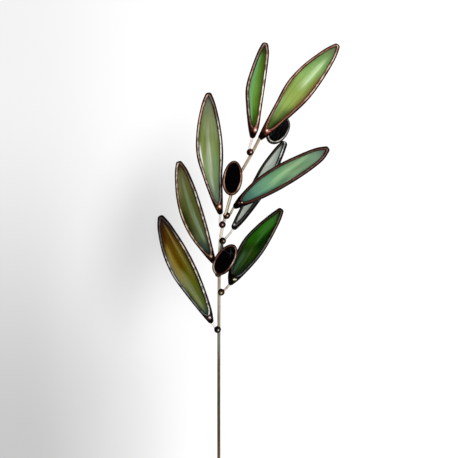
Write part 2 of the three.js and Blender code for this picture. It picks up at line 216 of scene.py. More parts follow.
def rod_tree():
    """Turns a line of points into a smooth round rod with capped ends, which knows how far each
    point faces up."""
    tree = bpy.data.node_groups.new("rod_along_a_line", "GeometryNodeTree")
    tree.interface.new_socket("Line", in_out="INPUT", socket_type="NodeSocketGeometry")
    inputs = {}
    for name, kind, value in [
        ("Radius", "NodeSocketFloat", 0.001), ("Step", "NodeSocketFloat", 0.001),
        ("Waver", "NodeSocketFloat", 0.0), ("Metal", "NodeSocketMaterial", None),
    ]:
        inputs[name] = tree.interface.new_socket(name, in_out="INPUT", socket_type=kind)
        if value is not None:
            inputs[name].default_value = value
    tree.interface.new_socket("Rod", in_out="OUTPUT", socket_type="NodeSocketGeometry")
    graph = Graph(tree)
    given = tree.nodes.new("NodeGroupInput")
    value = {name: Socket(graph, given.outputs[name]) for name in ["Line", *inputs]}
    curve = graph.node("GeometryNodeMeshToCurve", {}, {"Mesh": value["Line"]})
    curve = graph.node("GeometryNodeCurveSplineType", {"spline_type": "CATMULL_ROM"}, {
        "Curve": curve,
    })
    curve = graph.node("GeometryNodeSetSplineResolution", {}, {0: curve, "Resolution": 12})
    curve = graph.node("GeometryNodeResampleCurve", {"mode": "LENGTH"}, {
        "Curve": curve, "Length": value["Step"],
    })
    wander = graph.node("ShaderNodeTexNoise", {}, {"Scale": 120.0, "Detail": 1.0}, output="Color")
    wander = graph.vectors("SUBTRACT", {0: wander, 1: (0.5, 0.5, 0.5)})
    wander = graph.vectors("SCALE", {0: wander, "Scale": value["Waver"]})
    curve = graph.node("GeometryNodeSetPosition", {}, {"Geometry": curve, "Offset": wander})
    section = graph.node("GeometryNodeCurvePrimitiveCircle", {}, {
        "Resolution": 20, "Radius": value["Radius"],
    })
    rod = graph.node("GeometryNodeCurveToMesh", {}, {
        "Curve": curve, "Profile Curve": section, "Fill Caps": True,
    })
    facing = graph.part(graph.node("GeometryNodeInputNormal"), "Z")
    rod = graph.node("GeometryNodeStoreNamedAttribute", {}, {
        "Geometry": rod, "Name": "upper", "Value": facing,
    })
    rod = above_table(graph, rod)
    rod = graph.node("GeometryNodeSetShadeSmooth", {}, {"Geometry": rod})
    rod = graph.node("GeometryNodeRealizeInstances", {}, {"Geometry": rod})
    rod = graph.node("GeometryNodeSetMaterial", {}, {"Geometry": rod, "Material": value["Metal"]})
    result = tree.nodes.new("NodeGroupOutput")
    tree.links.new(rod.output, result.inputs["Rod"])
    return tree


def worked(name, mesh, tree, **values):
    """A plain mesh object, made by running a mesh through a geometry tree."""
    source = bpy.data.objects.new(name, mesh)
    bpy.context.scene.collection.objects.link(source)
    modifier = source.modifiers.new("tree", "NODES")
    modifier.node_group = tree
    items = [item for item in tree.interface.items_tree if item.in_out == "INPUT"]
    sockets = {item.name: item.identifier for item in items}
    for key, value in values.items():
        modifier[sockets[key]] = value
    source.update_tag()
    evaluated = source.evaluated_get(bpy.context.evaluated_depsgraph_get())
    result = bpy.data.meshes.new_from_object(evaluated)
    source.modifiers.remove(modifier)
    source.data = result
    return source


def line_mesh(name, points):
    mesh = bpy.data.meshes.new(name)
    edges = [(i, i + 1) for i in range(len(points) - 1)]
    mesh.from_pydata([in_frame(point) for point in points], edges, [])
    return mesh


round_rod = rod_tree()


def metal_rod(name, points, radius, step, waver, material, node):
    """A rod or wire along points, which stands for a CAD node."""
    made = worked(
        name, line_mesh(name, points), round_rod,
        Radius=radius / 1000, Step=step / 1000, Waver=waver / 1000, Metal=material,
    )
    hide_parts(node)
    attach(made, "root")


rod_points = [(x, y, rod_height(y)) for x, y in rod_plan]
# Its upper end is soldered into the drop at the top right leaf's foot.
rod_points += [(28.1, 132.7, 18.8), (29.1, 133.9, 18.5)]
metal_rod("rod", rod_points, rod_radius, rod_step, rod_waver, brass, "stem_rod")


# Rims of the leaves
# Copper foil folded round the edge of each pane, covered with a bead of solder that was run
# on by hand and darkened with copper patina. At the foot it gathers in a drop that holds the
# wire.

glass_half = 1.5          # half the thickness of the sheet glass
bead_half = 2.5           # half the height of the bead
rim_outside = 2.0         # from the edge line out
rim_inside = 0.4          # from the edge line in
crest_place = 0.25        # where the bead is highest, from its inside to its outside
drop_place = 3.5          # from the foot of the leaf
drop_length = 3.4         # from the drop's middle to where it has mostly run out
drop_rise = 0.8           # how far it stands over the bead
dome_radius = 2.5         # of the small dome on the drop
dome_height = 3.2         # from the middle of the glass
covered_tip = 2.8         # the length that solder covers at the tip
tip_blunt = 0.5           # half the width of the short straight end of the tip
foot_fade = 1.6           # the length over which the rim's inside opens from its point at the foot
tip_fade = 5              # and over which it closes to its point at the tip
highlight_place = 0.95         # from the glass to the painted highlight line, where the bead stands highest
highlight_shift = 0.03        # how far that line moves out for each degree that the leaf is turned
leaf_stations = 80
width_places = (0.1, 0.3, 0.5, 0.7, 0.9)

# foot and tip of the rim, the lift of the right edge in degrees, the length that solder
# covers at the foot, and the widths to the left and to the right of the foot-tip line.
leaves = {
    "low_left_leaf": dict(
        foot=(-4.7, 4.4, 12), tip=(-41.9, 80, 2), turn=6, covered=6.9,
        left=(2.2, 5.9, 8.7, 8.2, 4.3), right=(2.3, 4.5, 5.4, 4.7, 2.6),
    ),
    "low_right_leaf": dict(
        foot=(7.4, 31.3, 12.4), tip=(44.5, 84.8, 7), turn=0, covered=7.5,
        left=(3.9, 6.8, 8, 6.1, 2.7), right=(1.8, 3.9, 4.8, 3.9, 2.2),
    ),
    "mid_left_leaf": dict(
        foot=(-3.2, 46.3, 12.8), tip=(-28.6, 118.4, 5.5), turn=6, covered=7.2,
        left=(3, 7.7, 9.5, 7.9, 3.8), right=(0.7, 2.1, 3, 3.3, 2.4),
    ),
    "back_right_leaf": dict(
        foot=(9.9, 70.2, 13.8), tip=(46.9, 132.2, 6.5), turn=20, covered=4.3,
        left=(0.9, 1.9, 3.4, 3.8, 2.1), right=(1.9, 3.9, 4.8, 3.9, 1.9),
    ),
    "high_left_leaf": dict(
        foot=(1.2, 80.4, 17.6), tip=(-7.2, 165.6, 16.5), turn=6, covered=8.1,
        left=(3, 7.3, 10.5, 9, 4.4), right=(0.8, 2.1, 4.3, 4.4, 2.6),
    ),
    "front_right_leaf": dict(
        foot=(10.2, 85.4, 17.1), tip=(76.5, 126.6, 19.7), turn=5, covered=7.5,
        left=(3.1, 6.5, 7.2, 5.9, 3.4), right=(1.7, 4, 5, 4.9, 3.5),
    ),
    "top_left_leaf": dict(
        foot=(23.3, 133.3, 19.5), tip=(32.5, 200.8, 14), turn=-10, covered=7.6,
        left=(2.1, 5.2, 7.3, 5.7, 2.8), right=(1.6, 1.8, 2, 2.1, 1.9),
    ),
    "top_right_leaf": dict(
        foot=(28.1, 132.7, 18.8), tip=(84.7, 201.4, 1.8), turn=0, covered=9.4,
        left=(2.1, 5.6, 8.8, 7.9, 3.9), right=(2.2, 4.9, 6.8, 5.9, 3.3),
    ),
}


def matrix_along(foot, tip, turn):
    """Places the own frame of a leaf or an olive, with x to its right, y from its foot to its
    tip and z up."""
    along = (Vector(tip) - Vector(foot)).normalized()
    across = along.cross(Vector((0, 0, 1))).normalized()
    across = Matrix.Rotation(-math.radians(turn), 3, along) @ across
    columns = Matrix((across, along, across.cross(along))).transposed().to_4x4()
    return Matrix.Translation(Vector(foot)) @ columns


def smooth_line(points, count):
    """Points along the smooth curve that passes through the given ones."""
    line = []
    last = len(points) - 1
    for step in range(count + 1):
        whole = step / count * last
        i = min(int(whole), last - 1)
        t = whole - i
        before, start, end, after = (points[min(max(j, 0), last)] for j in (i - 1, i, i + 1, i + 2))
        leave = (end - before) / 2
        arrive = (after - start) / 2
        line.append(
            (2 * start - 2 * end + leave + arrive) * t ** 3
            + (3 * end - 3 * start - 2 * leave - arrive) * t ** 2
            + leave * t + start
        )
    return line


def evenly(points, count):
    """count + 1 points along a line, closer together towards its two ends."""
    lengths = [0]
    for first, second in zip(points, points[1:]):
        lengths.append(lengths[-1] + (second - first).length)
    spaced = []
    i = 1
    for step in range(count + 1):
        eased = 1 - math.cos(math.pi * step / count)
        target = lengths[-1] * (0.35 * step / count + 0.325 * eased)
        while i < len(points) - 1 and lengths[i] < target:
            i += 1
        part = (target - lengths[i - 1]) / (lengths[i] - lengths[i - 1])
        spaced.append(points[i - 1].lerp(points[i], min(max(part, 0), 1)))
    return spaced


def width_at(line, y):
    for first, second in zip(line, line[1:]):
        if second.y >= y:
            part = (y - first.y) / max(second.y - first.y, 1e-9)
            return first.x + (second.x - first.x) * min(max(part, 0), 1)
    return line[-1].x


def outside_of(line, reach):
    """The line moved out by reach, with a round cap at each end, up to the middle."""
    normals = []
    for i in range(len(line)):
        tangent = (line[min(i + 1, len(line) - 1)] - line[max(i - 1, 0)]).normalized()
        normals.append(Vector((tangent.y, -tangent.x)))
    foot_angle = math.atan2(normals[0].y, normals[0].x)
    tip_angle = math.atan2(normals[-1].y, normals[-1].x)
    cap_steps = 16

    def cap(centre, start, end):
        angles = [start + (end - start) * i / cap_steps for i in range(cap_steps + 1)]
        return [centre + reach * Vector((math.cos(angle), math.sin(angle))) for angle in angles]

    side = [point + reach * normal for point, normal in zip(line, normals)]
    tip = cap(line[-1], tip_angle, math.pi / 2)
    return cap(line[0], -math.pi / 2, foot_angle)[:-1] + side + tip[1:] + [Vector((0, tip[-1].y))]


def leaf_window(line, other, covered, length, cover=0.0):
    """The inside of the rim on one side. It ends in a point at the foot and at the tip."""
    steps = 120
    low = covered - cover
    high = length - covered_tip + cover

    def middle(y):
        return (width_at(line, y) - width_at(other, y)) / 2

    foot_inset = width_at(line, low) - rim_inside - middle(low)
    tip_inset = width_at(line, high) - rim_inside - middle(high)
    points = []
    for i in range(steps + 1):
        y = low + (high - low) * i / steps
        inset = foot_inset * math.exp((low - y) / foot_fade)
        inset += tip_inset * math.exp((y - high) / tip_fade)
        points.append(Vector((width_at(line, y) - rim_inside + cover - inset, y)))
    points[0].x = middle(low)
    points[-1].x = middle(high)
    return points


def leaf_lines(leaf):
    """The length of a leaf and its edge lines, to the right and to the left."""
    length = (Vector(leaf["tip"]) - Vector(leaf["foot"])).length
    low, high = rim_outside, length - rim_outside
    lines = []
    for widths in (leaf["right"], leaf["left"]):
        points = [Vector((0, low))]
        for width, place in zip(widths, width_places):
            points.append(Vector((width, low + (high - low) * place)))
        points.append(Vector((tip_blunt, high)))
        lines.append(smooth_line(points, 120))
    return length, lines


def closed_loop(right, left):
    return right + [Vector((-point.x, point.y)) for point in left[-2:0:-1]]


def bead_section(crest):
    """Across and height of the bead's upper surface and outside, then its lower surface."""
    quarter = 9
    upper = []
    for i in range(quarter):
        angle = math.pi / 2 * i / quarter
        height = glass_half + (crest - glass_half) * math.sin(angle)
        upper.append((crest_place * (1 - math.cos(angle)), height))
    for i in range(quarter + 1):
        angle = math.pi / 2 * i / quarter
        across = crest_place + (1 - crest_place) * math.sin(angle) ** 0.85
        upper.append((across, crest * math.cos(angle) ** 0.8))
    lower = [(across, -height) for across, height in upper[-2::-1]]
    return upper + lower


def distances_to(loop):
    """A function that gives a flat point's distance from a closed loop."""
    parts = 6
    tree = KDTree(len(loop) * parts)
    for i, point in enumerate(loop):
        for part in range(parts):
            spot = point.lerp(loop[(i + 1) % len(loop)], part / parts)
            tree.insert((spot.x, spot.y, 0), i * parts + part)
    tree.balance()
    return lambda point: tree.find((point.x, point.y, 0))[2]


def spot_distance(point, spots):
    """The distance to the nearest of the spots, in sizes of that spot, or 9 without any."""
    return min(((point - Vector((x, y))).length / size for x, y, size in spots), default=9)


def bead_mesh(name, inside, outside, crest_at, matrix, spots=()):
    """A closed bead of solder between an inside and an outside loop. Each point knows how far
    it is from the glass and from the outer edge in millimetres, how far from a painted
    highlight spot in sizes of that spot, how far along the piece it is from 0 to 1, and
    whether it lies to the left (-1) or to the right (1)."""
    vertices = []
    known = {"from_glass": [], "to_edge": [], "from_spot": [], "along": [], "side": []}
    length = max(point.y for point in outside)
    inside_distance, outside_distance = distances_to(inside), distances_to(outside)
    for number, (inner, outer) in enumerate(zip(inside, outside)):
        for across, height in bead_section(crest_at(inner.lerp(outer, crest_place))):
            spot = inner.lerp(outer, across)
            vertices.append(in_frame(matrix @ Vector((spot.x, spot.y, height))))
            known["from_glass"].append(inside_distance(spot))
            known["to_edge"].append(outside_distance(spot))
            known["from_spot"].append(spot_distance(spot, spots))
            known["along"].append(spot.y / length)
            known["side"].append(1 if number < len(inside) / 2 else -1)
    around = len(vertices) // len(inside)
    faces = []
    for i in range(len(inside)):
        j = (i + 1) % len(inside)
        for k in range(around):
            m = (k + 1) % around
            faces.append((i * around + k, i * around + m, j * around + m, j * around + k))
    mesh = bpy.data.meshes.new(name)
    mesh.from_pydata(vertices, [], faces)
    for attribute, values in known.items():
        mesh.attributes.new(attribute, "FLOAT", "POINT").data.foreach_set("value", values)
    return mesh


def solder_tree():
    """Gives a bead the slight waves of solder run by hand."""
    tree = bpy.data.node_groups.new("solder_run_by_hand", "GeometryNodeTree")
    tree.interface.new_socket("Bead", in_out="INPUT", socket_type="NodeSocketGeometry")
    for name, kind in [
        ("Wave Depth", "NodeSocketFloat"), ("Waves per Metre", "NodeSocketFloat"),
        ("Seed", "NodeSocketFloat"), ("Solder", "NodeSocketMaterial"),
    ]:
        tree.interface.new_socket(name, in_out="INPUT", socket_type=kind)
    tree.interface.new_socket("Solder Bead", in_out="OUTPUT", socket_type="NodeSocketGeometry")
    graph = Graph(tree)
    given = tree.nodes.new("NodeGroupInput")
    names = ["Bead", "Wave Depth", "Waves per Metre", "Seed", "Solder"]
    value = {name: Socket(graph, given.outputs[name]) for name in names}
    waves = graph.node("ShaderNodeTexNoise", {"noise_dimensions": "4D"}, {
        "W": value["Seed"], "Scale": value["Waves per Metre"], "Detail": 1.5,
    })
    normal = graph.node("GeometryNodeInputNormal")
    rise = (waves - 0.55) * value["Wave Depth"]
    offset = graph.vectors("SCALE", {0: normal, "Scale": rise})
    bead = graph.node("GeometryNodeSetPosition", {}, {"Geometry": value["Bead"], "Offset": offset})
    bead = above_table(graph, bead)
    bead = graph.node("GeometryNodeSetShadeSmooth", {}, {"Geometry": bead})
    bead = graph.node("GeometryNodeRealizeInstances", {}, {"Geometry": bead})
    bead = graph.node("GeometryNodeSetMaterial", {}, {
        "Geometry": bead, "Material": value["Solder"],
    })
    result = tree.nodes.new("NodeGroupOutput")
    tree.links.new(bead.output, result.inputs["Solder Bead"])
    return tree


def patina_solder(
    name, highlight_line_at, body, left, right, copper_sheen, lump="#000000", highlight_tone="#000000", black_end=0.045,
):
    """Near black patina that shows the tone body across the bead but is kept black at the glass
    and on the bead's outer side as painted shade, with a narrow broken line of painted
    highlight. left and right are the line's tones on the two sides, from foot to tip, and
    highlight_line_at its distance from the glass on those sides in millimetres. The drop at the
    foot has the tone lump, with painted highlight spots of highlight_tone in a painted sheen of
    copper_sheen. Up to black_end, as a part of the length, the foot is black."""
    material, graph, shader = finish(name, Specular_IOR_Level=0.08, Specular_Tint=paint("#1c1614"))
    place = graph.place()
    from_glass, to_edge = graph.attribute("from_glass"), graph.attribute("to_edge")
    from_spot, along = graph.attribute("from_spot"), graph.attribute("along")
    blotch = graph.noise(place, 150, 3)
    dashes = graph.noise(place, 260, 2)
    grain = graph.noise(place, 2200, 3)
    # The patina is near black. At the glass and on the bead's outer side it is kept black as
    # painted shade, and the body's tone shows between.
    unshaded_body = graph.step(from_glass, 0.25, 0.6) * graph.step(to_edge + 0.9 * (blotch - 0.5), 0.6, 1.4)
    color = graph.blend(unshaded_body, "#040303", body)
    drop = graph.step(from_glass + to_edge, 3.0, 4.6)
    color = graph.blend(0.9 * drop * graph.step(to_edge, 0.4, 1.2), color, lump)
    foot = graph.step(along + 0.02 * (blotch - 0.5), black_end, black_end - 0.025)
    color = graph.blend(0.9 * foot, color, "#060404")
    # A painted copper sheen round the painted highlight spots on the drop.
    glow = unshaded_body * graph.step(from_spot + 1.5 * (blotch - 0.5), 2.2, 0.9)
    color = graph.blend(0.85 * glow, color, copper_sheen)
    # A narrow broken line of painted highlight along the crest, in each side's tones.
    wander = graph.noise(place, 90, 1) - 0.5
    right_side = graph.step(graph.attribute("side"), -0.2, 0.2)
    centre = highlight_line_at[0] + (highlight_line_at[1] - highlight_line_at[0]) * right_side
    line = graph.step(abs(from_glass - centre + 0.8 * wander), 0.6, 0.24)
    line = line * graph.step(from_glass + to_edge, 4.2, 3.2) * graph.step(to_edge, 0.5, 1.0)
    highlight_dashes = line * (0.2 + 0.8 * graph.step(dashes, 0.38, 0.6))
    spread = along + 0.12 * (blotch - 0.5)
    places = (0.1, 0.35, 0.6, 0.85)
    sides = [graph.ramp(spread, list(zip(places, tones))) for tones in (left, right)]
    highlight_line_tone = graph.blend(right_side, *sides)
    color = graph.blend(0.6 * line, color, copper_sheen)
    color = graph.blend(0.1 * line + 0.9 * highlight_dashes, color, highlight_line_tone)
    color = graph.blend(0.3 * graph.step(grain, 0.55, 0.8), color, "#0d0807")
    # The painted highlight spots on the drop.
    color = graph.blend(graph.step(from_spot, 1.1, 0.5), color, highlight_tone)
    graph.feed(shader.inputs["Base Color"], color)
    graph.feed(shader.inputs["Metallic"], 0.4 * graph.step(from_spot, 0.6, 1.2) * (1 - highlight_dashes))
    graph.feed(shader.inputs["Roughness"], 0.27 + 0.12 * (grain - 0.5))
    graph.emboss(shader, blotch + 0.2 * grain, 0.35, 0.00015)
    return material


hand_solder = solder_tree()


def solder_bead(mesh, node, patina, depth, per_metre, seed):
    """Solder run by hand, with waves of a depth in millimetres, which stands for a CAD node."""
    made = worked(mesh.name, mesh, hand_solder, **{
        "Wave Depth": depth / 1000, "Waves per Metre": per_metre, "Seed": float(seed),
        "Solder": patina,
    })
    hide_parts(node)
    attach(made, "root")


# body is the patina's tone, copper_sheen the tint of the painted sheen round the painted
# highlights, lump the drop's tone, highlight_tone the painted highlight spots on the drop, and left
# and right the painted highlight line's tones from foot to tip.
rims = {
    "low_left_leaf": dict(
        body="#1a1110", copper_sheen="#5e4644", lump="#281b1b", highlight_tone="#f6e2dc",
        left=("#646b6b", "#828a88", "#ccc4bc", "#585858"),
        right=("#e8e2d6", "#ece6d8", "#f0d8c0", "#4e4440"),
    ),
    "low_right_leaf": dict(
        body="#120e0f", copper_sheen="#4c4122", lump="#0b0a07", highlight_tone="#f2ecd6",
        left=("#545050", "#4c423e", "#3c4238", "#443430"),
        right=("#666a6c", "#4c5254", "#706862", "#6a584c"),
    ),
    "mid_left_leaf": dict(
        body="#2a1610", copper_sheen="#94582e", lump="#160e08", highlight_tone="#fff0d4",
        left=("#7a6c66", "#d8bca0", "#d4bfa4", "#e8d6be"),
        right=("#a89a8c", "#fff4e2", "#fbf0e4", "#6a584c"),
    ),
    "back_right_leaf": dict(
        body="#15100d", copper_sheen="#4c4c4b", lump="#262727", highlight_tone="#c6c5c0",
        left=("#3c3836", "#2e2a26", "#3c342c", "#4e4238"),
        right=("#4c4a4a", "#4a4846", "#6a6664", "#f0f2f2"),
    ),
    "high_left_leaf": dict(
        body="#22130e", copper_sheen="#96522e", lump="#1c0e08", highlight_tone="#fdecdc",
        left=("#8a7c74", "#dcc0ae", "#e0d4cc", "#d8aa98"),
        right=("#7c7672", "#beb6ae", "#fcf3e6", "#7a6c64"),
    ),
    "front_right_leaf": dict(
        body="#3c180f", copper_sheen="#643a2a", lump="#0e0907", highlight_tone="#f0dfd2", black_end=0.13,
        left=("#443029", "#54392f", "#644a40", "#685449"),
        right=("#4a302a", "#5c3a32", "#6e4c44", "#785a54"),
    ),
    "top_left_leaf": dict(
        body="#4a2418", copper_sheen="#94503a", lump="#3c1c16", highlight_tone="#fff4e6", black_end=0.075,
        left=("#7a5044", "#e0c0ac", "#d0ac98", "#8c7c70"),
        right=("#d0ac94", "#fce4d4", "#fff8ee", "#ccaea8"),
    ),
    "top_right_leaf": dict(
        body="#54291c", copper_sheen="#a25c46", lump="#3e1e16", highlight_tone="#fde9dc", black_end=0.07,
        left=("#9c7060", "#b4907a", "#c89c86", "#a47868"),
        right=("#84584e", "#8a6256", "#e8c5ba", "#d8bca8"),
    ),
}
# Painted highlight spots on each drop: across, along and half the width, in millimetres from the
# leaf's foot.
painted_highlight_spots = {
    "low_left_leaf": [(0.75, 4.2, 0.85)],
    "low_right_leaf": [(0.5, 4.9, 0.8), (1.5, 5.7, 0.6)],
    "mid_left_leaf": [(0, 5.2, 0.95)],
    "back_right_leaf": [(0.25, 3.2, 0.8)],
    "high_left_leaf": [(0.3, 5.7, 1.0), (-1.3, 4.7, 0.45)],
    "front_right_leaf": [(0.5, 7.1, 0.5), (-0.4, 5.2, 0.55)],
    "top_left_leaf": [(1, 5.9, 1.0)],
    "top_right_leaf": [(0.4, 7.8, 0.95), (1.9, 8.6, 0.5)],
}


def leaf_crest(point):
    """Half the height of the bead, which is greatest in the drop at the foot."""
    base = bead_half + drop_rise * math.exp(-((point.y - drop_place) / drop_length) ** 2)
    away = math.hypot(point.x, point.y - drop_place) / dome_radius
    dome = dome_height * math.sqrt(max(0, 1 - away ** 2))
    # The greater of the two, with a soft passage between them.
    return (base ** 8 + dome ** 8) ** 0.125


for number, (name, leaf) in enumerate(leaves.items()):
    length, (right, left) = leaf_lines(leaf)
    outside = closed_loop(
        evenly(outside_of(right, rim_outside), leaf_stations),
        evenly(outside_of(left, rim_outside), leaf_stations),
    )
    inside = closed_loop(
        evenly(leaf_window(right, left, leaf["covered"], length), leaf_stations),
        evenly(leaf_window(left, right, leaf["covered"], length), leaf_stations),
    )
    matrix = matrix_along(leaf["foot"], leaf["tip"], leaf["turn"])
    mesh = bead_mesh(f"{name}_bead", inside, outside, leaf_crest, matrix, painted_highlight_spots[name])
    shift = highlight_shift * leaf["turn"]
    patina = patina_solder(f"{name}_patina", (highlight_place - shift, highlight_place + shift), **rims[name])
    solder_bead(mesh, f"{name}_rim", patina, depth=0.2, per_metre=110.0, seed=number)


# Panes of the leaves
# Sheet glass 3 mm thick, cut to the leaf's outline. The sheets are streaky: milky colours were
# stirred together before the glass was rolled, and the streaks run along the leaf.

pane_columns = 14
pane_rows = 60
pane_cover = 0.7           # how far the pane reaches under the bead


def pane_mesh(name, leaf):
    """A pane with its own coordinates: across from -1 to 1, and along from foot to tip."""
    length, (right, left) = leaf_lines(leaf)
    sides = [
        leaf_window(right, left, leaf["covered"], length, pane_cover),
        leaf_window(left, right, leaf["covered"], length, pane_cover),
    ]
    matrix = matrix_along(leaf["foot"], leaf["tip"], leaf["turn"])
    low, high = sides[0][0].y, sides[0][-1].y
    vertices, across_values, along_values = [], [], []
    for height in (glass_half, -glass_half):
        for row in range(pane_rows + 1):
            y = low + (high - low) * (1 - math.cos(math.pi * row / pane_rows)) / 2
            right_x, left_x = width_at(sides[0], y), -width_at(sides[1], y)
            for column in range(pane_columns + 1):
                part = column / pane_columns
                x = left_x + (right_x - left_x) * part
                vertices.append(in_frame(matrix @ Vector((x, y, height))))
                across_values.append(2 * part - 1)
                along_values.append(y / length)
    line = pane_columns + 1
    bottom = line * (pane_rows + 1)
    faces = []
    for row in range(pane_rows):
        for column in range(pane_columns):
            a = row * line + column
            faces.append((a, a + 1, a + 1 + line, a + line))
            faces.append((bottom + a, bottom + a + line, bottom + a + 1 + line, bottom + a + 1))
        for a, b in ((row * line, (row + 1) * line), ((row + 2) * line - 1, (row + 1) * line - 1)):
            faces.append((a, b, bottom + b, bottom + a))
    mesh = bpy.data.meshes.new(name)
    mesh.from_pydata(vertices, [], faces)
    mesh.attributes.new("across", "FLOAT", "POINT").data.foreach_set("value", across_values)
    mesh.attributes.new("along", "FLOAT", "POINT").data.foreach_set("value", along_values)
    return mesh


def glass_pane(mesh, node, material):
    """A pane that stands for a CAD node."""
    mesh.materials.append(material)
    pane = bpy.data.objects.new(mesh.name, mesh)
    bpy.context.scene.collection.objects.link(pane)
    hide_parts(node)
    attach(pane, "root")


def streaky_glass(name, ground, streaks, through, seed):
    """Milky glass. ground holds colours from foot to tip. A streak has its colour, its place
    across at the foot and at the tip, half its width, its strength, and where it begins and
    ends along the leaf. through is the strength of a painted glow in the glass's colour, which
    stands in for light from the table coming up through the glass."""
    material, graph, shader = finish(
        name, IOR=1.5, Specular_IOR_Level=0.3, Emission_Strength=through,
    )
    across = graph.attribute("across")
    along = graph.attribute("along")
    sheet = graph.node("ShaderNodeCombineXYZ", {}, {"X": across, "Y": along, "Z": seed * 3.7})
    wander = graph.noise(sheet, 1.0, 2, stretch=(1.2, 4, 1)) - 0.5
    cloud = graph.noise(sheet, 1.0, 3, stretch=(1.5, 7, 1))
    fibre = graph.noise(sheet, 1.0, 4, stretch=(9, 2.2, 1))
    hair = graph.noise(sheet, 1.0, 3, stretch=(26, 3.5, 1))
    color = graph.ramp(along + 0.06 * (fibre - 0.5), ground)
    for tone, at_foot, at_tip, half, strength, begin, end in streaks:
        centre = at_foot + (at_tip - at_foot) * along + 0.18 * wander
        body = graph.step(abs(across - centre), half, 0.15 * half)
        reach = graph.step(along + 0.1 * (fibre - 0.5), begin - 0.06, begin + 0.06)
        reach = reach * graph.step(along + 0.1 * (hair - 0.5), end + 0.06, end - 0.06)
        color = graph.blend(strength * body * reach * (0.85 + 0.6 * (fibre - 0.5)), color, tone)
    value = 0.97 + 0.6 * (fibre - 0.5) + 0.4 * (hair - 0.5) + 0.3 * (cloud - 0.5)
    color = graph.node("ShaderNodeHueSaturation", {}, {"Value": value, "Color": color})
    graph.feed(shader.inputs["Base Color"], color)
    # The glass glows in its own colour: a painted glow for light from the table coming through it.
    graph.feed(shader.inputs["Emission Color"], color)
    graph.feed(shader.inputs["Roughness"], 0.12 + 0.1 * cloud)
    graph.emboss(shader, cloud + 0.4 * fibre, 0.15, 0.0004)
    return material


